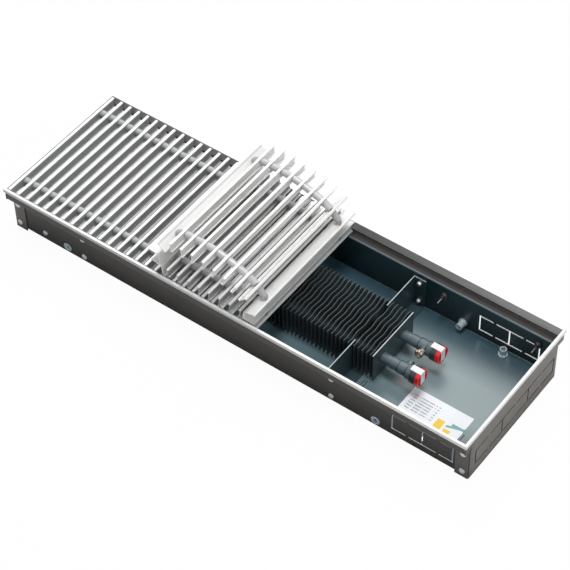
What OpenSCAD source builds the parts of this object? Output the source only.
// Trench convector heater.
// A shallow sheet-steel trench with a mitred trim frame, a finned heat exchanger held
// by two transverse brackets, and a linked slat grille that lies in three layers: one
// in its place in the trench, one flat on top of it, and one arched over the second.
// Millimetres, +Z up, +X along the trench towards the pipe connections.
// The origin is on the underside, below the middle of the trench.

/* [Casing] */
// Overall length over the trim frame
case_l = 800; // [760:5:900]
// Overall width over the trim frame
case_w = 248; // [236:1:280]
// Overall depth from the trim top to the underside
case_h = 86; // [84:1:110]
// Sheet thickness of trench, end walls and brackets
sheet_t = 1.5; // [1:0.1:2]
// Inner radius of the sheet bends
bend_r = 1.2; // [0.6:0.1:2]
// Distance from the trim edge in to the upper band of the casing
band_inset = 1.7; // [1.6:0.1:2.2]
// Distance from the trim top down to the underside of the ledge
ledge_drop = 21.2; // [20.5:0.1:24]
// Distance from the trim edge in to the long walls below the ledge
wall_inset = 15.4; // [13:0.1:18]
// Length of the end wall flaps folded round onto the long walls
end_flap_l = 21; // [18:0.5:24]
// Length of the end wall foot folded under the floor
end_foot_l = 18; // [12:1:30]
// Gap between the long bands and the ears of the end walls
ear_gap = 1.2; // [0.6:0.1:2]
// Diameter of the relief hole at each bend corner
relief_d = 3; // [2:0.5:4]

/* [Trim frame] */
// Width of the visible trim top
trim_w = 3.8; // [3.6:0.1:5]
// Height of the outer trim leg
trim_h = 5.9; // [5:0.1:8]
// Wall thickness of the trim profile
trim_t = 1.2; // [0.8:0.1:1.4]
// Height of the inner trim leg below the trim top
trim_lip_h = 15.2; // [8:0.2:15.4]
// Height and depth of the groove along the outer trim leg
trim_groove = 0.4; // [0.2:0.1:0.6]
// Thickness of the foam strip on the ledge
strip_gap = 0.3; // [0.2:0.1:0.5]
// Width of the foam strip on the ledge
strip_w = 9; // [6:0.5:10]

/* [Knock-outs] */
// Width of the cut lines
ko_slot = 2.4; // [1:0.1:3]
// Length of the bridges that hold the panels
ko_bridge = 4.4; // [3:0.1:6]
// Width of one panel in a long wall
side_ko_w = 48.4; // [40:0.1:52]
// Number of panels in a long wall
side_ko_n = 2; // [1:1:3]
// Height of the panels
ko_h = 28; // [20:0.5:30]
// Height of the lower cut line in the long walls above the underside
side_ko_rise = 16.4; // [10:0.1:20]
// Distance from the last cut line to the connection end of the casing
side_ko_end = 28.8; // [26:0.1:40]
// Width of one panel in the end wall
end_ko_w = 64.8; // [50:0.1:68]
// Number of panels in the end wall
end_ko_n = 3; // [1:1:3]
// Height of the lower cut line in the end wall above the underside
end_ko_rise = 18.8; // [12:0.1:22]
// Sideways offset of the end wall panels
end_ko_shift = 2.8; // [0:0.1:5]

/* [Fasteners] */
// Head diameter of the blind rivets
rivet_d = 9; // [7:0.1:10]
// Head height of the blind rivets
rivet_h = 1.8; // [1:0.1:2.4]
// Shank diameter of the blind rivets
rivet_shank_d = 4.8; // [4:0.1:5]
// Diameter of the closed rivet end inside the casing
rivet_tail_d = 6.6; // [5.5:0.1:8]
// Height of the closed rivet end
rivet_tail_h = 4; // [2:0.1:6]
// Distance from the trim top to the upper rivets
rivet_up_drop = 37.4; // [36:0.1:42]
// Height of the lower rivets above the underside
rivet_low_rise = 12.2; // [12:0.1:18]
// Distance from the casing end to the corner rivets
rivet_end = 11.6; // [9:0.1:14]
// Flange diameter of the threaded inserts
insert_flange_d = 14.4; // [12:0.1:16]
// Flange thickness of the threaded inserts
insert_flange_t = 1; // [0.6:0.1:1.4]
// Diameter of the upset collar behind the sheet
insert_bulge_d = 13.6; // [12:0.1:15]
// Thickness of the upset collar
insert_bulge_t = 2; // [1:0.1:3]
// Sleeve diameter of the threaded inserts
insert_d = 10.4; // [9.5:0.1:11]
// Length of the sleeve inside the sheet
insert_l = 12.4; // [9:0.1:16]
// Core diameter of the insert thread
insert_core_d = 6.8; // [5:0.1:7]
// Height of the side inserts above the underside
insert_rise = 13.6; // [12:0.1:16]
// Distance from the plain end to the side inserts there
insert_plain_end = 102; // [80:0.5:130]
// Distance from the connection end to the side inserts there
insert_pipe_end = 152.3; // [150:0.1:158]
// Distance from both ends to the floor inserts
insert_floor_end = 79.2; // [70:0.1:90]
// Distance from the inner wall face to the floor inserts
insert_floor_in = 10.1; // [8.5:0.1:20]
// Length of the spacer screw in the side insert
spacer_screw_l = 14; // [10:0.5:18]
// Width across flats of the socket in the spacer screw
spacer_socket = 4; // [3:0.5:5]
// Distance from the plain end to the earth screw
earth_end = 60.3; // [50:0.5:70]
// Height of the earth screw above the underside
earth_rise = 18; // [14:0.5:26]
// Head diameter of the earth screw
earth_d = 8; // [6:0.1:9]
// Head height of the earth screw
earth_h = 3; // [2:0.1:4]
// Head diameter of the cable clips on the back wall
clip_d = 11.6; // [8:0.1:13]
// Head height of the cable clips
clip_h = 4.6; // [3:0.1:6]
// Neck diameter of the cable clips
clip_neck_d = 5; // [4:0.1:6]
// Neck length of the cable clips
clip_neck_l = 4; // [3:0.1:6]
// Diameter of the pin in each cable clip
clip_pin_d = 2; // [1.6:0.1:3]
// Length of the free part of the pin
clip_pin_l = 10; // [8:0.5:16]
// Distance from the trim top to the cable clips
clip_drop = 37; // [34:0.5:39]
// Distance from the connection end to the cable clip near the end wall
clip_near = 31; // [24:0.5:34]
// Distance from the connection end to the other cable clip
clip_far = 185; // [180:0.5:195]

/* [Heat exchanger] */
// Distance from the connection end to the fin end plate
plate_end = 199.2; // [190:0.1:205]
// Distance from the plain end to the fin end plate
plate_plain_end = 106.4; // [95:0.1:120]
// Width of the fins
fin_w = 98; // [90:0.5:102]
// Gap between the floor sheet and the fins
fin_floor_gap = 3.4; // [2:0.1:8]
// Distance from the trim top to the top of the fins
fin_drop = 28.8; // [25:0.1:30]
// Spacing of the fins
fin_pitch = 6.95; // [5:0.05:9]
// Thickness of a fin
fin_t = 0.5; // [0.3:0.05:0.8]
// Height of the waves pressed into a fin
fin_wave = 0.9; // [0.4:0.1:1.4]
// Number of waves across a fin
fin_waves = 3; // [2:1:8]
// Smallest gap between a fin and a plate or bracket
fin_gap = 2.2; // [1.6:0.1:3]
// Outer diameter of the water tubes
tube_d = 16; // [14:0.1:17]
// Wall thickness of the water tubes
tube_t = 1; // [0.7:0.1:1.5]
// Centre distance of the two water tubes
tube_gauge = 50; // [44:0.1:54]
// Height of the tube axes above the middle of the fins
tube_rise = 1.1; // [0:0.1:4]
// Length of the straight tube between the plain end plate and the return bend
bend_neck = 6; // [3:0.5:12]
// Distance from the connection end to the web of the bracket there
bracket_end = 236; // [232:0.5:240]
// Distance from the plain end to the web of the bracket there
bracket_plain_end = 143.2; // [138:0.5:150]
// Distance from the trim top to the bracket top
bracket_drop = 29; // [26:0.1:31]
// Width of the bracket flanges
bracket_flange = 19.6; // [17:0.1:24]
// Width of the cut-out in the bracket
bracket_gap_w = 76.6; // [74:0.1:80]
// Diameter of the small hole in each fin end plate
plate_hole_d = 3.6; // [2:0.1:5]
// Distance from the plate top to the small hole
plate_hole_drop = 7.6; // [5:0.1:10]

/* [Connections] */
// Free tube length between end plate and first fitting step
step_1 = 15.4; // [12:0.1:20]
// Length of the first fitting step
step_2 = 13.2; // [8:0.1:16]
// Length of the second fitting step
step_3 = 13.4; // [9:0.1:16]
// Length of the third fitting step
step_4 = 8.6; // [6:0.1:12]
// Length of the socket
step_5 = 8.8; // [8:0.1:14]
// Diameter of the first fitting step
step_2_d = 17.6; // [17:0.1:18.5]
// Diameter of the second fitting step
step_3_d = 19.6; // [18.6:0.1:21]
// Diameter of the third fitting step
step_4_d = 22.6; // [21.4:0.1:24]
// Diameter of the socket and of the cap
socket_d = 26; // [25:0.1:28]
// Core diameter of the socket thread
socket_core_d = 18.8; // [18:0.1:19.2]
// Depth of the socket thread
socket_deep = 14; // [10:0.1:16]
// Thickness of the cap disc
cap_t = 6; // [3:0.1:8]
// Length of the cap spigot
cap_spigot = 8; // [5:0.1:10]
// Rim width of the cap
cap_rim = 2.6; // [2:0.1:5]
// Depth of the recess in the cap
cap_dish = 1.4; // [0.6:0.1:2.4]
// Width of the paper seal
seal_w = 9.8; // [8:0.1:15]
// Thickness of the paper seal
seal_t = 0.4; // [0.3:0.05:0.6]
// Length of the paper seal along the fitting
seal_l = 17.5; // [10:0.5:18]
// Share of the cap face that the paper seal runs down
seal_drop_share = 0.86; // [0.5:0.01:0.95]
// Distance from the end plate to the vent axis
vent_at = 39; // [37.5:0.5:46]
// Upward tilt of the vent in degrees
vent_tilt = 12; // [0:1:30]
// Boss diameter of the vent seat
vent_boss_d = 12.6; // [9:0.1:14]
// Height of the vent seat above the third fitting step
vent_boss_rise = 0.3; // [0.2:0.1:3]
// Diameter of the vent body
vent_d = 8.4; // [6:0.1:10]
// Length of the vent body
vent_l = 6.4; // [4:0.1:9]
// Diameter of the vent knob
knob_d = 13.8; // [9:0.1:15]
// Thickness of the vent knob
knob_t = 4.8; // [3:0.1:7]
// Number of flutes on the vent knob
knob_flutes = 6; // [4:1:10]
// Diameter of each flute
flute_d = 3.6; // [2:0.1:4.6]
// Stem diameter of the vent knob
knob_stem_d = 3.6; // [3:0.1:5]
// Width across flats of the blind plug
plug_af = 8; // [6:0.1:10]
// Height of the blind plug head
plug_h = 3.4; // [2:0.1:5]

/* [Information card] */
// Length of the card on the trench floor
card_l = 97; // [70:1:110]
// Width of the card
card_w = 56; // [40:1:70]
// Thickness of the card
card_t = 0.4; // [0.3:0.05:0.8]
// Distance from the connection end to the card
card_end = 48.6; // [30:0.5:60]
// Distance from the inner front wall face to the card
card_in = 29; // [20:0.5:40]
// Length of the slots in the trench floor
floor_slot_l = 27; // [15:0.5:36]
// Width of each slot in the trench floor
floor_slot_w = 1.5; // [1:0.1:2]
// Width of the bridge between two slots
floor_slot_bridge = 2.6; // [2:0.1:4]
// Distance from the inner front wall face to the floor slots
floor_slot_in = 27.5; // [20:0.5:40]
// Distance from the connection end to the slot near it
floor_slot_near = 47.2; // [44:0.1:50]
// Distance from the connection end to the other slot
floor_slot_far = 206.6; // [202:0.1:212]

/* [Grille slats] */
// Height of a slat
slat_h = 15.8; // [14:0.1:17]
// Width of the slat top
slat_top_w = 4.2; // [3:0.1:5]
// Thickness of the slat top
slat_top_t = 1.5; // [1:0.1:2]
// Width of the slat foot
slat_foot_w = 4.6; // [3:0.1:5.4]
// Thickness of the slat foot
slat_foot_t = 1; // [0.6:0.1:1.6]
// Thickness of the slat web
slat_web = 1; // [0.7:0.1:1.5]
// Distance from the trim edge to the slat ends
slat_end = 5.6; // [5:0.1:8]
// Distance from the slat end at the front to the front link row
row_front = 33.4; // [25:0.1:45]
// Distance from the slat end at the back to the back link row
row_back = 29.6; // [25:0.1:45]
// Diameter of the link spacers
link_d = 10.4; // [8:0.1:11.4]
// Diameter of the rods through the spacers
rod_d = 5; // [3:0.1:6]
// Diameter of the rod end heads
rod_head_d = 8; // [7:0.1:9]
// Thickness of the rod end heads
rod_head_t = 1; // [0.6:0.1:1.4]

/* [Grille layers] */
// Distance of the lowest layer below the trim top
low_sink = 0.8; // [0.3:0.1:2]
// Slat spacing of the lowest layer
low_pitch = 16.9; // [15:0.02:18]
// Number of slats in the lowest layer
low_n = 27; // [20:1:27]
// Distance from the plain end to the first slat
low_end = 6.9; // [6.9:0.1:12]
// How much deeper the slats of the lowest layer reach
low_drop = 2.2; // [0:0.1:2.4]
// Width of the slat tops in the lowest layer
low_top_w = 4.7; // [3:0.1:5.4]
// Width of the slat feet in the lowest layer
low_foot_w = 5.6; // [3:0.1:5.8]
// Slat spacing of the two upper layers
mat_pitch = 18; // [16:0.1:18.6]
// Number of slats in the middle layer
mid_n = 8; // [4:1:8]
// Distance from the plain end to the first slat of the middle layer
mid_end = 301.2; // [298:0.1:304]
// Thickness of the grille end profiles
profile_t = 1.4; // [1:0.1:1.6]
// Height of the web of the end profiles
profile_h = 17.8; // [17:0.1:19]
// Sideways lean of that web from foot to top
profile_lean = 2.4; // [1.5:0.1:3]
// Width of the plate on top of an end profile
profile_w = 18.4; // [16:0.1:20]
// Rise of that plate towards its free edge
profile_rise = 3.2; // [2:0.1:4]
// Depth of the lip along the free edge
profile_lip = 2; // [1.8:0.1:3]
// Width of the foot plate of the end profile at the pipe side
profile_foot_w = 20.2; // [18:0.1:22]
// Distance from the last slat of the middle layer to the profile at the pipe side
profile_gap = 4.8; // [4.6:0.1:6]
// Distance from the first slat of the middle layer to the profile at the plain side
profile_plain_gap = 8.3; // [8:0.1:10]
// Sideways offset of the profile stacked on top
stack_shift = 4; // [3:0.1:6]
// Height of the web of the stacked profile
stack_h = 20.2; // [19:0.1:21]
// Rise of the plate of the stacked profile
stack_rise = 1.7; // [1:0.1:3]
// Length of the rounded rod ends of the middle layer
bullet_l = 11.5; // [9:0.1:14]

/* [Grille arch] */
// Number of slats in the arch
arch_n = 8; // [8:1:8]
// Height of the first arch link above the trim top
arch_rise = 65.7; // [62:0.1:68]
// Distance from the plain end to the first slat of the arch
arch_end = 310.3; // [308:0.1:313]
// Slat spacing along the arch
arch_pitch = 18.2; // [17.6:0.1:18.6]
// Width of the sloping end plate at the plain side
arch_plate_w = 19; // [15:0.1:21]
// Slope of that end plate in degrees
arch_plate_slope = 36; // [28:1:40]
// Droop of the rod ends at the plain side in degrees
arch_bullet_droop = 27; // [20:1:30]
// Distance of the arch foot from the edge of the sloping plate
arch_foot_in = 8; // [5:0.1:10]
// Smallest travel of an arch link in degrees
link_play = 6; // [3:0.5:7]

/* [Clearances] */
// Radial clearance of pins, rods and spigots
fit_gap = 0.08; // [0.03:0.01:0.1]
// Gap between pieces that lie on each other loosely
loose_gap = 0.3; // [0.2:0.05:0.5]
// Gap at seams between fixed pieces
seam = 0.05; // [0.02:0.01:0.1]
// Overrun of cuts past a face
cut_over = 1; // [0.5:0.1:3]

/* [Hidden] */
$fn = 40;

// Facets along one bend of a sheet
bend_steps = 5;

// Casing
half_l = case_l / 2;
half_w = case_w / 2;
foot_t = sheet_t;
floor_top = foot_t + sheet_t;
band_y = half_w - band_inset - sheet_t / 2;
wall_y = half_w - wall_inset - sheet_t / 2;
wall_in_y = wall_y - sheet_t / 2;
wall_out_y = wall_y + sheet_t / 2;
ledge_z = case_h - ledge_drop + sheet_t / 2;
ledge_top = ledge_z + sheet_t / 2;
ledge_low = ledge_z - sheet_t / 2;
floor_z = foot_t + sheet_t / 2;
end_out_x = half_l - band_inset;
end_mid_x = end_out_x - sheet_t / 2;
end_in_x = end_out_x - sheet_t;
trench_half = end_in_x - seam;
flap_y = wall_out_y + seam + sheet_t / 2;
flap_out_y = flap_y + sheet_t / 2;
flap_top = ledge_low - bend_r;
rim_z = case_h - trim_t - seam;
joint_y = wall_in_y - 2 * bend_r;
joint_z = ledge_low - 2 * bend_r;

// Fastener places
rivet_up_z = case_h - rivet_up_drop;
rivet_low_z = rivet_low_rise;
corner_x = half_l - rivet_end;
bracket_x = half_l - bracket_end;
bracket_plain_x = bracket_plain_end - half_l;
flange_mid = bracket_flange / 2;
insert_z = insert_rise;
insert_pipe_x = half_l - insert_pipe_end;
insert_plain_x = insert_plain_end - half_l;
insert_floor_x = half_l - insert_floor_end;
insert_floor_y = wall_in_y - insert_floor_in;
earth_x = earth_end - half_l;
earth_z = earth_rise;
clip_z = case_h - clip_drop;
clip_xs = [half_l - clip_far, half_l - clip_near];

// Heat exchanger
plate_x = half_l - plate_end;
plate_plain_x = plate_plain_end - half_l;
fin_top = case_h - fin_drop;
fin_low = floor_top + fin_floor_gap;
fin_h = fin_top - fin_low;
fin_mid_z = fin_top - fin_h / 2;
tube_z = fin_mid_z + tube_rise;
tube_y = tube_gauge / 2;
tube_r = tube_d / 2;
bracket_top = case_h - bracket_drop;
bracket_y = wall_in_y - seam;
cradle_z = tube_z - tube_r - seam;

// Connections
fit_x = plate_x + sheet_t / 2 + seam;
vent_boss_l = step_4_d / 2 + vent_boss_rise;
at_2 = step_1;
at_3 = at_2 + step_2;
at_4 = at_3 + step_3;
at_5 = at_4 + step_4;
at_6 = at_5 + step_5;
cap_face = at_6 + seam + cap_t;
tube_in = at_4 - step_3 / 2;

// Grille
slat_half = half_w - slat_end;
row_ys = [row_front - slat_half, slat_half - row_back];
low_top = case_h - low_sink;
low_z = low_top - slat_h;
mid_z = low_top + loose_gap;
rod_up = slat_h / 2;
low_x0 = low_end - half_l;
mid_x0 = mid_end - half_l;
mid_x1 = mid_x0 + (mid_n - 1) * mat_pitch;
arch_x0 = arch_end - half_l;
arch_z0 = case_h + arch_rise;
// Slope of each arch link in degrees, from the plain side to the pipe side
arch_slope_degrees = [2, 1, -6, -14, -16, -18, -34];
// Lean of each arch slat in degrees, a positive lean tips its top towards the pipes
arch_lean_degrees = [-2, -1.5, 2.5, 10, 15, 17, 26, 50];

// Radius of the rounded rod ends at the shoulder and at the tip, as shares
tip_share_1 = 0.8;
tip_share_2 = 0.4;

function unit_v(v) = v / norm(v);
function left_n(a, b) = let (d = unit_v(b - a)) [-d[1], d[0]];
function flipped(v) = [for (i = [len(v) - 1 : -1 : 0]) v[i]];

// An open line moved sideways by d, with mitred corners
function shifted(p, d) = [for (i = [0 : len(p) - 1])
    let (j = max(i - 1, 0),
         k = min(i, len(p) - 2),
         n0 = left_n(p[j], p[j + 1]),
         n1 = left_n(p[k], p[k + 1]),
         m = unit_v(n0 + n1))
    p[i] + m * d / (m * n0)];

function turn_of(p, i) = cross(p[i] - p[i - 1], p[i + 1] - p[i]);

// The arc that rounds corner i of a line
function arc_pts(p, i, r, n) =
    let (d0 = unit_v(p[i - 1] - p[i]),
         d1 = unit_v(p[i + 1] - p[i]),
         half = acos(d0 * d1) / 2,
         c = p[i] + unit_v(d0 + d1) * r / sin(half),
         v0 = p[i] + d0 * r / tan(half) - c,
         v1 = p[i] + d1 * r / tan(half) - c,
         a = 180 - 2 * half)
    [for (k = [0 : n]) c + (sin((1 - k / n) * a) * v0 + sin(k / n * a) * v1) / sin(a)];

function rounded(p, r_left, r_right, n) = [for (i = [0 : len(p) - 1])
    each (i == 0 || i == len(p) - 1 ? [p[i]]
        : arc_pts(p, i, turn_of(p, i) > 0 ? r_left : r_right, n))];

// Outline of a bent sheet from its middle line
function sheet_outline(p, t, r, n) = concat(
    rounded(shifted(p, t / 2), r, r + t, n),
    flipped(rounded(shifted(p, -t / 2), r + t, r, n)));

module sheet_2d(p, t, r) {
    polygon(sheet_outline(p, t, r, bend_steps));
}

// A section drawn in width and height, run along the trench and centred
module along_x(run) {
    rotate([90, 0, 90])
        translate([0, 0, -run / 2])
            linear_extrude(height = run)
                children();
}

// A section drawn in length and height, run across the trench and centred
module along_y(run) {
    rotate([90, 0, 0])
        translate([0, 0, -run / 2])
            linear_extrude(height = run)
                children();
}

// A round bar that starts at a point on a wall and runs along -Y
module out_front(at, r, deep) {
    translate(at)
        rotate([90, 0, 0])
            cylinder(h = deep, r = r);
}

// Cut lines round a row of knock-out panels, drawn flat and run upwards
module knock_out_lines(n, w, h, deep) {
    run = n * w;
    seg = (w - ko_bridge) / 2;
    for (k = [0 : n])
        translate([k * w - run / 2 - ko_slot / 2, -h / 2 - ko_slot / 2, 0])
            cube([ko_slot, h + ko_slot, deep]);
    for (s = [-1, 1], k = [0 : n - 1], e = [0, 1])
        translate([k * w - run / 2 + e * (w - seg), s * h / 2 - ko_slot / 2, 0])
            cube([seg, ko_slot, deep]);
}

module wall_knock_outs() {
    run = side_ko_n * side_ko_w;
    translate([half_l - side_ko_end - run / 2, 0, side_ko_rise + ko_h / 2])
        rotate([90, 0, 0])
            translate([0, 0, -half_w])
                knock_out_lines(side_ko_n, side_ko_w, ko_h, case_w);
}

// Every place of a blind rivet on the front, as [x, z, grip]
rivet_spots = [
    [-corner_x, rivet_up_z, 1], [-corner_x, rivet_low_z, 1],
    [corner_x, rivet_up_z, 1], [corner_x, rivet_low_z, 1],
    [bracket_plain_x - flange_mid, rivet_up_z, 0], [bracket_plain_x - flange_mid, rivet_low_z, 0],
    [bracket_x + flange_mid, rivet_up_z, 0], [bracket_x + flange_mid, rivet_low_z, 0]
];

module rivet_bores() {
    for (p = rivet_spots)
        out_front([p[0], half_w, p[1]], rivet_shank_d / 2 + seam, case_w);
}

module insert_bores() {
    r = insert_d / 2 + seam;
    for (x = [insert_plain_x, insert_pipe_x])
        out_front([x, half_w, insert_z], r, case_w);
    for (x = [-insert_floor_x, insert_floor_x], y = [-insert_floor_y, insert_floor_y])
        translate([x, y, -cut_over])
            cylinder(h = floor_top + 2 * cut_over, r = r);
}

module floor_slots() {
    reach = floor_slot_w + floor_slot_bridge;
    for (d = [floor_slot_near, floor_slot_far], e = [0, reach])
        translate([half_l - d + e - reach / 2 - floor_slot_w / 2, floor_slot_in - wall_in_y, -cut_over])
            cube([floor_slot_w, floor_slot_l, floor_top + 2 * cut_over]);
}

// The flat floor sheet between the folds of the long walls
module trench_floor() {
    color([0.22, 0.26, 0.28])
        difference() {
            translate([-trench_half, seam - joint_y, foot_t])
                cube([2 * trench_half, 2 * (joint_y - seam), sheet_t]);
            insert_bores();
            floor_slots();
        }
}

// Cuts at the four corners that give room to the ears and flaps of the end walls
module corner_cuts() {
    notch = bend_r + seam;
    for (s = [-1, 1], e = [-1, 1]) {
        translate([e * trench_half - ear_gap, s * half_w - wall_inset - sheet_t, ledge_low - cut_over])
            cube([2 * ear_gap, 2 * (wall_inset - sheet_t), case_h]);
        translate([e * trench_half - notch, s * wall_out_y - notch, 0])
            cube([2 * notch, 2 * notch, ledge_low]);
    }
}

// A long wall on the front side, folded in at the bottom to meet the floor sheet
module long_wall() {
    along_x(2 * trench_half)
        sheet_2d([[-wall_y, joint_z - seam], [-wall_y, floor_z], [-joint_y, floor_z]], sheet_t, bend_r);
}

module wall_front() {
    color([0.22, 0.26, 0.28])
        difference() {
            long_wall();
            wall_knock_outs();
            rivet_bores();
            insert_bores();
            corner_cuts();
            out_front([earth_x, 0, earth_z], rivet_shank_d / 2, case_w);
        }
}

module wall_back() {
    color([0.22, 0.26, 0.28])
        difference() {
            mirror([0, 1, 0])
                long_wall();
            wall_knock_outs();
            rivet_bores();
            insert_bores();
            corner_cuts();
            for (x = clip_xs)
                out_front([x, half_w, clip_z], clip_neck_d / 2 + seam, half_w);
        }
}

// The ledge with the upper band, one rail on each long side
module edge_rails() {
    color([0.22, 0.26, 0.28])
        difference() {
            for (m = [0, 1])
                mirror([0, m, 0])
                    along_x(2 * trench_half)
                        sheet_2d([
                            [-band_y, rim_z], [-band_y, ledge_z], [-wall_y, ledge_z], [-wall_y, joint_z]
                        ], sheet_t, bend_r);
            corner_cuts();
        }
}

// The end wall at the pipe end: a plate with ears, folded flaps and a folded foot
module end_wall(panels) {
    line = [
        [end_mid_x - end_flap_l, -flap_y], [end_mid_x, -flap_y],
        [end_mid_x, flap_y], [end_mid_x - end_flap_l, flap_y]
    ];
    foot_y = wall_y - bend_r - sheet_t;
    difference() {
        union() {
            linear_extrude(height = flap_top)
                sheet_2d(line, sheet_t, bend_r);
            translate([end_in_x, -half_w + band_inset, ledge_low])
                cube([sheet_t, case_w - 2 * band_inset, rim_z - ledge_low]);
            translate([end_in_x, seam - wall_out_y, flap_top - cut_over])
                cube([sheet_t, 2 * (wall_out_y - seam), cut_over + ledge_low - flap_top]);
            translate([end_mid_x - end_foot_l, -foot_y, 0])
                cube([end_foot_l, 2 * foot_y, foot_t - seam]);
        }
        rivet_bores();
        for (s = [-1, 1])
            translate([end_out_x - sheet_t - cut_over, s * wall_out_y, ledge_low])
                rotate([0, 90, 0])
                    cylinder(h = sheet_t + 2 * cut_over, d = relief_d);
        if (panels)
            translate([end_out_x, end_ko_shift, end_ko_rise + ko_h / 2])
                rotate([90, 0, 90])
                    translate([0, 0, -sheet_t - cut_over])
                        knock_out_lines(end_ko_n, end_ko_w, ko_h, sheet_t + 2 * cut_over);
    }
}

module end_wall_pipe() {
    color([0.48, 0.46, 0.44])
        end_wall(true);
}

module end_wall_plain() {
    color([0.36, 0.35, 0.34])
        mirror([1, 0, 0])
            end_wall(false);
}

// Trim section: outer edge at 0, width towards +, height measured down from the top
function trim_pts() =
    let (g = trim_groove,
         m = trim_h / 2,
         lip_0 = band_inset + sheet_t + seam)
    [
        [0, case_h], [trim_w, case_h], [trim_w, case_h - trim_t - trim_lip_h],
        [lip_0, case_h - trim_t - trim_lip_h], [lip_0, case_h - trim_t], [trim_t, case_h - trim_t],
        [trim_t, case_h - trim_h], [0, case_h - trim_h],
        [0, case_h - m - g], [g, case_h - m - g], [g, case_h - m], [0, case_h - m]
    ];

// One trim bar on the front edge of a frame of length l and width w
module trim_bar(l, w) {
    intersection() {
        translate([0, -w / 2, 0])
            along_x(l) polygon(trim_pts());
        linear_extrude(height = case_h + cut_over)
            polygon([
                [-l / 2 + seam, -w / 2], [l / 2 - seam, -w / 2],
                [l / 2 - seam - trim_w, -w / 2 + trim_w], [-l / 2 + seam + trim_w, -w / 2 + trim_w]
            ]);
    }
}

module trim_sides() {
    color([0.92, 0.92, 0.91])
        for (m = [0, 1])
            mirror([0, m, 0])
                trim_bar(case_l, case_w);
}

module trim_ends() {
    color([0.92, 0.92, 0.91])
        for (m = [0, 1])
            mirror([m, 0, 0])
                rotate([0, 0, 90])
                    trim_bar(case_w, case_l);
}

module ledge_strips() {
    strip_h = low_z - low_drop - strip_gap - ledge_top;
    strip_0 = wall_in_y + bend_r + sheet_t;
    color([0.27, 0.23, 0.22])
        for (s = [-1, 1])
            translate([-trench_half + 2 * ear_gap, s > 0 ? strip_0 : -strip_0 - strip_w, ledge_top])
                cube([2 * trench_half - 4 * ear_gap, strip_w, strip_h]);
}

// A blind rivet with its head at z = 0 and its shank running up through the grip
module rivet(grip) {
    r = rivet_d / 2;
    lid = rivet_h / 2;
    translate([0, 0, -lid])
        cylinder(h = lid, r = r);
    translate([0, 0, -rivet_h])
        cylinder(h = rivet_h - lid, r1 = r - lid, r2 = r);
    cylinder(h = grip + rivet_tail_h / 2, d = rivet_shank_d);
    translate([0, 0, grip])
        cylinder(h = rivet_tail_h / 2, d = rivet_tail_d);
    translate([0, 0, grip + rivet_tail_h / 2])
        cylinder(h = rivet_tail_h / 2, d1 = rivet_tail_d, d2 = rivet_shank_d);
}

module blind_rivets() {
    grip_corner = 2 * sheet_t + 2 * seam;
    grip_bracket = 2 * sheet_t + seam;
    color([0.8, 0.8, 0.8])
        for (s = [0, 1])
            mirror([0, s, 0])
                for (p = rivet_spots) {
                    y = p[2] > 0 ? flap_out_y : wall_out_y;
                    translate([p[0], -y, p[1]])
                        rotate([-90, 0, 0])
                            rivet(p[2] > 0 ? grip_corner : grip_bracket);
                }
}

// A threaded insert with its flange under z = 0 and its sleeve running up
module threaded_insert() {
    difference() {
        union() {
            translate([0, 0, -insert_flange_t])
                cylinder(h = insert_flange_t, d = insert_flange_d);
            translate([0, 0, -insert_flange_t / 2])
                cylinder(h = sheet_t + insert_l + insert_flange_t / 2, d = insert_d);
            translate([0, 0, sheet_t])
                cylinder(h = insert_bulge_t, d = insert_bulge_d);
        }
        translate([0, 0, -insert_flange_t - cut_over])
            cylinder(h = insert_flange_t + sheet_t + insert_l + 2 * cut_over, d = insert_core_d);
    }
}

module threaded_inserts() {
    color([0.72, 0.77, 0.8]) {
        for (s = [0, 1], x = [insert_plain_x, insert_pipe_x])
            mirror([0, s, 0])
                translate([x, -wall_out_y, insert_z])
                    rotate([-90, 0, 0])
                        threaded_insert();
        for (x = [-insert_floor_x, insert_floor_x], y = [-insert_floor_y, insert_floor_y])
            translate([x, y, foot_t])
                threaded_insert();
    }
}

module spacer_screw() {
    r = insert_core_d / 2 - fit_gap;
    color([0.55, 0.62, 0.72])
        translate([insert_plain_x, -wall_out_y - insert_flange_t / 2, insert_z])
            rotate([-90, 0, 0])
                difference() {
                    cylinder(h = spacer_screw_l, r = r);
                    translate([0, 0, -cut_over])
                        cylinder(h = spacer_socket + cut_over, d = spacer_socket / cos(30), $fn = 6);
                }
}

module earth_screw() {
    r = earth_d / 2;
    slot = earth_d / 8;
    color([0.82, 0.82, 0.8])
        translate([earth_x, -wall_out_y, earth_z])
            rotate([-90, 0, 0])
                difference() {
                    union() {
                        translate([0, 0, -earth_h / 2])
                            cylinder(h = earth_h / 2, r = r);
                        translate([0, 0, -earth_h])
                            cylinder(h = earth_h / 2, r1 = r - earth_h / 3, r2 = r);
                        cylinder(h = sheet_t + 2 * earth_h, r = rivet_shank_d / 2 - seam);
                    }
                    for (a = [0, 90])
                        rotate([0, 0, a])
                            translate([-r / 2, -slot / 2, -earth_h - cut_over])
                                cube([r, slot, cut_over + earth_h / 2]);
                }
}

module cable_clips() {
    neck_r = clip_neck_d / 2;
    color([0.07, 0.07, 0.08])
        for (x = clip_xs)
            translate([x, wall_in_y, clip_z])
                rotate([90, 0, 0])
                    difference() {
                        union() {
                            translate([0, 0, -sheet_t - cut_over])
                                cylinder(h = sheet_t + cut_over, r = neck_r);
                            cylinder(h = clip_h / 2, d = clip_d);
                            translate([0, 0, clip_h / 2])
                                cylinder(h = clip_h / 2, d1 = clip_d, d2 = clip_d - clip_h);
                            cylinder(h = clip_h + clip_neck_l, r = neck_r);
                        }
                        translate([0, 0, -sheet_t])
                            cylinder(h = clip_h + clip_neck_l + sheet_t + cut_over, r = clip_pin_d / 2 + seam);
                    }
}

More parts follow.
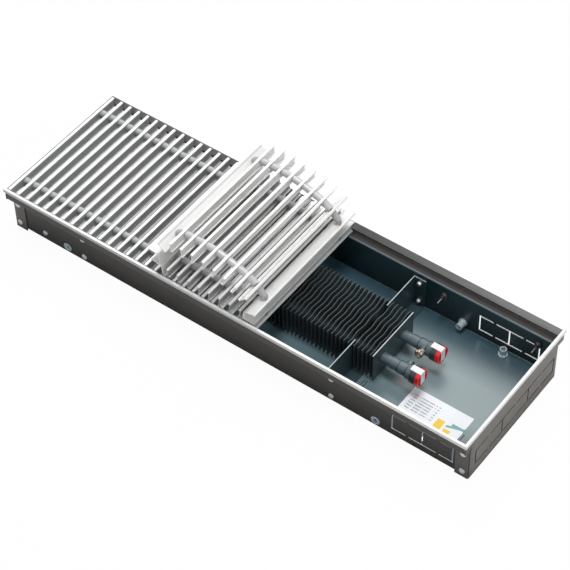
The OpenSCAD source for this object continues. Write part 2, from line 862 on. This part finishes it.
module clip_pins() {
    color([0.62, 0.6, 0.6])
        for (x = clip_xs)
            translate([x, wall_in_y + sheet_t - seam, clip_z])
                rotate([90, 0, 0])
                    cylinder(h = sheet_t + clip_h + clip_neck_l + clip_pin_l, d = clip_pin_d);
}

// A transverse bracket at x = 0 with its flanges towards +X
module bracket() {
    w = bracket_gap_w / 2;
    up = bracket_top - floor_top - seam;
    difference() {
        union() {
            translate([-sheet_t / 2, -bracket_y, floor_top + seam + bend_r])
                cube([sheet_t, 2 * bracket_y, up - bend_r]);
            translate([-sheet_t / 2, -bracket_y + bend_r, floor_top + seam])
                cube([sheet_t, 2 * (bracket_y - bend_r), up]);
            for (s = [0, 1])
                mirror([0, s, 0])
                    translate([-sheet_t / 2, bracket_y - sheet_t, floor_top + seam + bend_r])
                        cube([bracket_flange + sheet_t / 2, sheet_t, up - bend_r]);
            translate([-sheet_t / 2, -bracket_y + bend_r + 2 * sheet_t, floor_top + seam])
                cube([bracket_flange + sheet_t / 2, 2 * (bracket_y - bend_r - 2 * sheet_t), sheet_t]);
        }
        translate([-sheet_t / 2 - cut_over, -w, cradle_z])
            cube([sheet_t + 2 * cut_over, bracket_gap_w, fin_h]);
    }
}

module bracket_pipe() {
    color([0.2, 0.25, 0.28])
        difference() {
            translate([bracket_x, 0, 0])
                bracket();
            rivet_bores();
        }
}

module bracket_plain() {
    color([0.2, 0.25, 0.28])
        difference() {
            translate([bracket_plain_x, 0, 0])
                mirror([1, 0, 0])
                    bracket();
            rivet_bores();
        }
}

// One fin with its middle at x = 0, pressed into waves across its width
fin_cells = 4 * fin_waves;
function fin_line() = [for (k = [0 : fin_cells])
    [fin_wave * sin(90 * k), k * fin_w / fin_cells - fin_w / 2]];

module fin() {
    line = fin_line();
    side = [fin_t / 2, 0];
    translate([0, 0, fin_low])
        linear_extrude(height = fin_h)
            polygon(concat([for (p = line) p + side], [for (p = flipped(line)) p - side]));
}

module tube_holes(x0, x1) {
    for (s = [-1, 1])
        translate([x0, s * tube_y, tube_z])
            rotate([0, 90, 0])
                cylinder(h = x1 - x0, r = tube_r + seam);
}

// Fins at even spacing between two faces
module fin_group(x0, x1) {
    room = x1 - x0 - 2 * (fin_gap + fin_wave);
    n = floor(room / fin_pitch);
    start = (x0 + x1 - n * fin_pitch) / 2;
    difference() {
        for (k = [0 : n])
            translate([start + k * fin_pitch, 0, 0])
                fin();
        tube_holes(x0, x1);
    }
}

module fins_pipe() {
    color([0.08, 0.09, 0.1])
        fin_group(bracket_x + sheet_t / 2, plate_x - sheet_t / 2);
}

module fins_main() {
    color([0.08, 0.09, 0.1])
        fin_group(bracket_plain_x + sheet_t / 2, bracket_x - sheet_t / 2);
}

module fins_plain() {
    color([0.08, 0.09, 0.1])
        fin_group(plate_plain_x + sheet_t / 2, bracket_plain_x - sheet_t / 2);
}

// A plain plate that closes the fins at one end
module fin_plate(x) {
    difference() {
        translate([x - sheet_t / 2, -fin_w / 2, fin_low])
            cube([sheet_t, fin_w, fin_h]);
        tube_holes(x - sheet_t, x + sheet_t);
        translate([x - sheet_t, 0, fin_top - plate_hole_drop])
            rotate([0, 90, 0])
                cylinder(h = 2 * sheet_t, d = plate_hole_d);
    }
}

module fin_plate_pipe() {
    color([0.17, 0.22, 0.25])
        fin_plate(plate_x);
}

module fin_plate_plain() {
    color([0.17, 0.22, 0.25])
        fin_plate(plate_plain_x);
}

// Both straight tubes and the return bend as one run of radius r
module tube_run(r, x1, over) {
    x0 = plate_plain_x - bend_neck;
    for (s = [-1, 1])
        translate([x0, s * tube_y, tube_z])
            rotate([0, 90, 0])
                cylinder(h = x1 + over - x0, r = r);
    translate([x0, 0, tube_z])
        rotate([0, 0, 90])
            rotate_extrude(angle = 180)
                translate([tube_y, 0])
                    circle(r = r);
}

module water_tube() {
    color([0.3, 0.38, 0.42])
        difference() {
            tube_run(tube_r, fit_x + tube_in - seam, 0);
            tube_run(tube_r - tube_t, fit_x + tube_in, cut_over);
        }
}

// Seat for the vent or the plug: leaves the fitting sideways along -Y, tilted upwards
module at_vent() {
    translate([vent_at, 0, 0])
        rotate([90 - vent_tilt, 0, 0])
            children();
}

// A stepped fitting with its first face at x = 0 and its axis on the tube
module fitting() {
    difference() {
        union() {
            translate([at_2, 0, 0])
                rotate([0, 90, 0])
                    cylinder(h = at_6 - at_2, d = step_2_d);
            translate([at_3, 0, 0])
                rotate([0, 90, 0])
                    cylinder(h = at_6 - at_3, d = step_3_d);
            translate([at_4, 0, 0])
                rotate([0, 90, 0])
                    cylinder(h = at_6 - at_4, d = step_4_d);
            translate([at_5, 0, 0])
                rotate([0, 90, 0])
                    cylinder(h = at_6 - at_5, d = socket_d);
            at_vent()
                cylinder(h = vent_boss_l, d = vent_boss_d);
        }
        rotate([0, 90, 0])
            cylinder(h = tube_in, r = tube_r + seam);
        rotate([0, 90, 0])
            cylinder(h = at_6, r = tube_r - tube_t);
        translate([at_6 - socket_deep, 0, 0])
            rotate([0, 90, 0])
                cylinder(h = socket_deep + cut_over, d = socket_core_d);
        at_vent()
            cylinder(h = vent_boss_l + cut_over, d = knob_stem_d + 2 * fit_gap);
    }
}

module at_front_pipe() {
    translate([fit_x, -tube_y, tube_z])
        children();
}

module at_back_pipe() {
    translate([fit_x, tube_y, tube_z])
        children();
}

module fitting_front() {
    color([0.28, 0.36, 0.4])
        at_front_pipe()
            mirror([0, 1, 0])
                fitting();
}

module fitting_back() {
    color([0.28, 0.36, 0.4])
        at_back_pipe()
            fitting();
}

module vent_body() {
    r = knob_stem_d / 2 + fit_gap;
    collar = vent_l / 4;
    color([0.74, 0.7, 0.64])
        at_back_pipe()
            at_vent()
                translate([0, 0, vent_boss_l + seam])
                    difference() {
                        union() {
                            cylinder(h = vent_l, d = vent_d);
                            cylinder(h = collar, d = vent_boss_d - collar);
                            translate([0, 0, 2 * collar])
                                cylinder(h = collar, d = vent_d + collar);
                        }
                        translate([0, 0, -cut_over])
                            cylinder(h = vent_l + 2 * cut_over, r = r);
                    }
}

module vent_knob() {
    r = knob_d / 2;
    base = vent_boss_l + seam + vent_l + loose_gap;
    slot = knob_d / 6;
    color([0.78, 0.74, 0.68])
        at_back_pipe()
            at_vent()
                difference() {
                    union() {
                        translate([0, 0, base])
                            cylinder(h = knob_t * 3 / 4, r = r);
                        translate([0, 0, base + knob_t * 3 / 4])
                            cylinder(h = knob_t / 4, r1 = r, r2 = r - knob_t / 4);
                        translate([0, 0, vent_boss_l])
                            cylinder(h = base - vent_boss_l + seam, d = knob_stem_d);
                    }
                    for (k = [0 : knob_flutes - 1])
                        rotate([0, 0, k * 360 / knob_flutes])
                            translate([r, 0, base - cut_over])
                                cylinder(h = knob_t + 2 * cut_over, d = flute_d, $fn = 24);
                    for (a = [0, 90])
                        rotate([0, 0, a])
                            translate([-slot * 3 / 2, -slot / 2, base + knob_t / 2])
                                cube([3 * slot, slot, knob_t]);
                }
}

module blind_plug() {
    color([0.28, 0.36, 0.4])
        at_front_pipe()
            mirror([0, 1, 0])
                at_vent() {
                    translate([0, 0, vent_boss_l + seam])
                        cylinder(h = plug_h, d = plug_af / cos(30), $fn = 6);
                    translate([0, 0, vent_boss_l / 2])
                        cylinder(h = vent_boss_l / 2 + plug_h, d = knob_stem_d);
                }
}

// A cap: disc with a dished face and a spigot inside the socket
module cap() {
    r = socket_d / 2;
    translate([at_6 + seam, 0, 0])
        rotate([0, 90, 0])
            difference() {
                union() {
                    cylinder(h = cap_t, r = r);
                    translate([0, 0, -cap_spigot])
                        cylinder(h = cap_spigot + cap_t / 2, r = socket_core_d / 2 - fit_gap);
                }
                translate([0, 0, cap_t - cap_dish])
                    cylinder(h = cap_dish + cut_over, r = r - cap_rim);
            }
}

module cap_front() {
    color([0.85, 0.05, 0.08])
        at_front_pipe()
            cap();
}

module cap_back() {
    color([0.85, 0.05, 0.08])
        at_back_pipe()
            cap();
}

// A paper strip over the socket, folded down over the face of the cap
module seal() {
    r = socket_d / 2 + seam;
    start = cap_face - seal_l;
    drop = seal_drop_share * socket_d;
    intersection() {
        translate([start, 0, 0])
            rotate([0, 90, 0])
                difference() {
                    cylinder(h = seal_l + seam + seal_t, r = r + seal_t);
                    translate([0, 0, -cut_over])
                        cylinder(h = seal_l + seam + seal_t + 2 * cut_over, r = r);
                }
        translate([start, -seal_w / 2, 0])
            cube([seal_l + seam + seal_t, seal_w, socket_d]);
    }
    intersection() {
        translate([cap_face + seam, -seal_w / 2, r + seal_t - drop])
            cube([seal_t, seal_w, drop]);
        translate([cap_face, 0, 0])
            rotate([0, 90, 0])
                cylinder(h = 2 * seal_t, r = r + seal_t);
    }
}

module seal_front() {
    color([0.95, 0.95, 0.95])
        at_front_pipe()
            seal();
}

module seal_back() {
    color([0.95, 0.95, 0.95])
        at_back_pipe()
            seal();
}

module info_card() {
    x0 = half_l - card_end - card_l;
    color([0.9, 0.92, 0.95])
        translate([x0, card_in - wall_in_y, floor_top + seam])
            cube([card_l, card_w, card_t]);
}

// Slat section with its foot at z = -drop
function slat_pts(drop, top_w, foot_w) =
    let (a = top_w / 2, b = foot_w / 2, c = slat_web / 2, e = slat_top_t / 3, f = slat_foot_t - drop)
    [
        [-b, -drop], [b, -drop], [b, f - slat_foot_t / 2], [c, f],
        [c, slat_h - slat_top_t], [a, slat_h - slat_top_t], [a, slat_h - e], [a - e, slat_h],
        [e - a, slat_h], [-a, slat_h - e], [-a, slat_h - slat_top_t],
        [-c, slat_h - slat_top_t], [-c, f], [-b, f - slat_foot_t / 2]
    ];

module slat(drop = 0, top_w = slat_top_w, foot_w = slat_foot_w) {
    along_y(2 * slat_half) polygon(slat_pts(drop, top_w, foot_w));
}

// Rod holes along +X at slat height, through everything between two places
module rod_holes(x0, x1, z, r) {
    for (y = row_ys)
        translate([x0, y, z])
            rotate([0, 90, 0])
                cylinder(h = x1 - x0, r = r);
}

// A flat row of slats with holes for the rods
module slat_row(x0, z, pitch, n, drop = 0, top_w = slat_top_w, foot_w = slat_foot_w) {
    difference() {
        for (k = [0 : n - 1])
            translate([x0 + k * pitch, 0, z])
                slat(drop, top_w, foot_w);
        rod_holes(x0 - pitch / 2, x0 + (n - 1 / 2) * pitch, z + rod_up, rod_d / 2 + fit_gap);
    }
}

module spacer_row(x0, z, pitch, n) {
    w = slat_web / 2 + seam;
    for (k = [0 : n - 2], y = row_ys)
        translate([x0 + k * pitch + w, y, z + rod_up])
            rotate([0, 90, 0])
                difference() {
                    cylinder(h = pitch - 2 * w, d = link_d);
                    translate([0, 0, -cut_over])
                        cylinder(h = pitch + 2 * cut_over, r = rod_d / 2 + fit_gap);
                }
}

module rod_row(x0, x1, z) {
    for (y = row_ys)
        translate([x0, y, z + rod_up])
            rotate([0, 90, 0])
                cylinder(h = x1 - x0, d = rod_d);
}

module low_slats() {
    color([0.9, 0.9, 0.89])
        slat_row(low_x0, low_z, low_pitch, low_n, low_drop, low_top_w, low_foot_w);
}

module low_spacers() {
    color([0.7, 0.7, 0.7])
        spacer_row(low_x0, low_z, low_pitch, low_n);
}

module low_rods() {
    x1 = low_x0 + (low_n - 1) * low_pitch;
    w = slat_web / 2 + seam;
    color([0.6, 0.6, 0.6]) {
        rod_row(low_x0 - w, x1 + w, low_z);
        for (x = [low_x0 - w - rod_head_t, x1 + w], y = row_ys)
            translate([x, y, low_z + rod_up])
                rotate([0, 90, 0])
                    cylinder(h = rod_head_t, d = rod_head_d);
    }
}

// The middle layer: plain slats between its end profiles
module mid_slats() {
    color([0.9, 0.9, 0.89])
        slat_row(mid_x0, mid_z, mat_pitch, mid_n);
}

module mid_spacers() {
    color([0.7, 0.7, 0.7])
        spacer_row(mid_x0, mid_z, mat_pitch, mid_n);
}

// Sideways lean of an end profile at rod height, and the room a round piece needs there
lean_at_rod = profile_lean * rod_up / profile_h;
lean_room = link_d / 2 * profile_lean / profile_h + profile_t / 2 + 2 * seam;
pipe_web_x = mid_x1 + profile_gap;
plain_web_x = mid_x0 - profile_plain_gap;

module mid_rods() {
    w = slat_web / 2;
    color([0.6, 0.6, 0.6])
        rod_row(mid_x0 - w, mid_x1 + w, mid_z);
}

// A rounded rod end along +X from x = 0
module bullet(l) {
    tip = link_d / 2;
    r = link_d / 2;
    rotate([0, 90, 0]) {
        cylinder(h = l - tip, r = r);
        translate([0, 0, l - tip])
            cylinder(h = tip / 2, r1 = r, r2 = r * tip_share_1);
        translate([0, 0, l - tip / 2])
            cylinder(h = tip / 2, r1 = r * tip_share_1, r2 = r * tip_share_2);
    }
}

module mid_rod_ends() {
    w = slat_web / 2 + seam;
    pipe_end = pipe_web_x + lean_at_rod;
    plain_end = plain_web_x - lean_at_rod;
    color([0.5, 0.5, 0.51])
        for (y = row_ys) {
            translate([pipe_end + lean_room, y, mid_z + rod_up])
                bullet(bullet_l);
            translate([mid_x1 + w, y, mid_z + rod_up])
                rotate([0, 90, 0])
                    cylinder(h = pipe_end - lean_room - mid_x1 - w, d = link_d);
            translate([plain_end + lean_room, y, mid_z + rod_up])
                rotate([0, 90, 0])
                    cylinder(h = mid_x0 - w - plain_end - lean_room, d = link_d);
        }
}

// Section of an end profile: web from the origin upwards, plate towards +, lip down
function profile_line(h, rise) =
    let (m = profile_t / 2,
         x1 = profile_lean + profile_w)
    [[profile_lean, h - m], [x1 - m, h + rise - m], [x1 - m, h + rise - m - profile_lip]];

// The foot of that section: a plate towards + with an upturned lip
function profile_foot() =
    let (m = profile_t / 2,
         x1 = profile_foot_w - m)
    [[x1, m + profile_lip], [x1, m], [0, m]];

module profile_bare(h, rise) {
    sheet_2d(concat([[0, 0]], profile_line(h, rise)), profile_t, profile_t / 2);
}

module mid_profile_pipe() {
    line = concat(profile_foot(), profile_line(profile_h, profile_rise));
    color([0.86, 0.86, 0.86])
        translate([pipe_web_x, 0, mid_z])
            along_y(2 * slat_half)
                sheet_2d(line, profile_t, profile_t / 2);
}

module mid_profile_plain() {
    color([0.86, 0.86, 0.86])
        translate([plain_web_x, 0, mid_z])
            mirror([1, 0, 0])
                along_y(2 * slat_half)
                    profile_bare(profile_h, profile_rise);
}

stack_x = plain_web_x - stack_shift;
stack_z = mid_z + profile_h + profile_rise * (stack_shift + profile_t - profile_lean) / profile_w + seam;
stack_top = stack_z + stack_h;
module mid_profile_stacked() {
    color([0.88, 0.88, 0.88])
        translate([stack_x, 0, stack_z])
            mirror([1, 0, 0])
                along_y(2 * slat_half)
                    profile_bare(stack_h, stack_rise);
}

// Link points of the arch, one on each slat
function arch_pt(i) = i == 0 ? [arch_x0, arch_z0]
    : arch_pt(i - 1) + arch_pitch * [cos(arch_slope_degrees[i - 1]), sin(arch_slope_degrees[i - 1])];

// Puts a piece drawn round the link point of slat i in its place and lean
module at_slat(i, lean) {
    p = arch_pt(i);
    translate([p[0], 0, p[1]])
        rotate([0, lean, 0])
            children();
}

module arch_slat(i) {
    color([0.9, 0.9, 0.89])
        at_slat(i, arch_lean_degrees[i])
            translate([0, 0, -rod_up])
                slat();
}

// The sloping plate of the arch hangs below its first slat and stands on two feet
plate_low = arch_pt(0) - [link_d, slat_h];
plate_dir = [-cos(arch_plate_slope), sin(arch_plate_slope)];
plate_high = plate_low + arch_plate_w * plate_dir;

module arch_slat_1() {
    t = profile_t;
    p = arch_pt(0);
    lean = arch_lean_degrees[0];
    foot_of_slat = p - (rod_up - slat_foot_t / 2) * [sin(lean), cos(lean)];
    lip = plate_high - profile_lip * [-plate_dir[1], plate_dir[0]] * -1;
    stand = plate_low + arch_foot_in * plate_dir;
    foot_x = stack_x - profile_lean - profile_w / 2;
    foot_z = stack_top + stack_rise / 2 + loose_gap + t / 2;
    hidden_run = 2 * row_ys[1];
    foot_run = slat_half / 3;
    color([0.9, 0.9, 0.89]) {
        arch_slat(0);
        along_y(2 * slat_half)
            sheet_2d([plate_low, plate_high, lip], t, t / 2);
        along_y(hidden_run)
            sheet_2d([foot_of_slat, plate_low, stand], t, t / 2);
        for (s = [-1, 1])
            translate([0, s * foot_run, 0])
                along_y(foot_run)
                    polygon([
                        [foot_x - t, foot_z], [foot_x + t, foot_z],
                        stand + [t, -t / 2], stand + [-t / 2, t / 4]
                    ]);
    }
}

module arch_slat_2() { arch_slat(1); }
module arch_slat_3() { arch_slat(2); }
module arch_slat_4() { arch_slat(3); }
module arch_slat_5() { arch_slat(4); }
module arch_slat_6() { arch_slat(5); }
module arch_slat_7() { arch_slat(6); }
module arch_slat_8() { arch_slat(7); }

// Angle between a link and the normal of the slat at its far end, folded and laid flat
function folded_at(i) = arch_slope_degrees[i] + arch_lean_degrees[i + 1];
function flat_at(i) = arch_slope_degrees[i] + arch_lean_degrees[i];
function room_for(a) = slat_web / 2 + link_d / 2 * sin(a);

// Two spacers between slat i and the next one, fixed to slat i
module arch_link(i) {
    p = arch_pt(i);
    slope = arch_slope_degrees[i];
    near = abs(flat_at(i));
    w = room_for(near) + seam;
    travel = max(arch_lean_degrees[i + 1] - arch_lean_degrees[i], link_play);
    v = room_for(max(abs(folded_at(i)), abs(folded_at(i) - travel))) + loose_gap;
    color([0.7, 0.7, 0.7])
        translate([p[0], 0, p[1]])
            rotate([0, -slope, 0])
                for (y = row_ys)
                    translate([w, y, 0])
                        rotate([0, 90, 0])
                            cylinder(h = arch_pitch - w - v, d = link_d);
}

module arch_link_1() { arch_link(0); }
module arch_link_2() { arch_link(1); }
module arch_link_3() { arch_link(2); }
module arch_link_4() { arch_link(3); }
module arch_link_5() { arch_link(4); }
module arch_link_6() { arch_link(5); }
module arch_link_7() { arch_link(6); }

// The rod ends at the plain side reach down until they lie on the sloping plate
tip_r = link_d / 2 * tip_share_2;
plate_n = [sin(arch_plate_slope), cos(arch_plate_slope)];
droop_dir = [cos(arch_bullet_droop), sin(arch_bullet_droop)];
tip_from = arch_pt(0) + tip_r * [droop_dir[1], -droop_dir[0]] - plate_low;
plain_reach = (tip_from * plate_n - profile_t / 2 - loose_gap) / (droop_dir * plate_n);

module arch_rod_ends_plain() {
    p = arch_pt(0);
    droop = arch_bullet_droop;
    w = room_for(droop + abs(arch_lean_degrees[0])) + seam;
    color([0.5, 0.5, 0.51])
        for (y = row_ys)
            translate([p[0], y, p[1]])
                rotate([0, -droop, 0])
                    mirror([1, 0, 0])
                        translate([w, 0, 0])
                            bullet(plain_reach - w);
}

// The rod ends at the pipe side reach down until they lie on the end profile
arch_end_pt = arch_pt(arch_n - 1);
arch_end_lean = arch_lean_degrees[arch_n - 1];
rest_slope = profile_rise / profile_w;
rest_x = pipe_web_x + profile_lean;
rest_z = mid_z + profile_h + loose_gap;
arch_reach = (arch_end_pt[1] - tip_r * cos(arch_end_lean) - rest_z
    - rest_slope * (arch_end_pt[0] - tip_r * sin(arch_end_lean) - rest_x))
    / (sin(arch_end_lean) + rest_slope * cos(arch_end_lean));

module arch_rod_ends_pipe() {
    w = slat_web / 2 + seam;
    color([0.5, 0.5, 0.51])
        for (y = row_ys)
            translate([arch_end_pt[0], y, arch_end_pt[1]])
                rotate([0, arch_end_lean, 0])
                    translate([w, 0, 0])
                        bullet(arch_reach - w);
}

trench_floor();
wall_front();
wall_back();
edge_rails();
end_wall_pipe();
end_wall_plain();
trim_sides();
trim_ends();
ledge_strips();
blind_rivets();
threaded_inserts();
spacer_screw();
earth_screw();
cable_clips();
clip_pins();
bracket_pipe();
bracket_plain();
fins_pipe();
fins_main();
fins_plain();
fin_plate_pipe();
fin_plate_plain();
water_tube();
fitting_front();
fitting_back();
vent_body();
vent_knob();
blind_plug();
cap_front();
cap_back();
seal_front();
seal_back();
info_card();
low_slats();
low_spacers();
low_rods();
mid_slats();
mid_spacers();
mid_rods();
mid_rod_ends();
mid_profile_pipe();
mid_profile_plain();
mid_profile_stacked();
arch_slat_1();
arch_slat_2();
arch_slat_3();
arch_slat_4();
arch_slat_5();
arch_slat_6();
arch_slat_7();
arch_slat_8();
arch_link_1();
arch_link_2();
arch_link_3();
arch_link_4();
arch_link_5();
arch_link_6();
arch_link_7();
arch_rod_ends_plain();
arch_rod_ends_pipe();
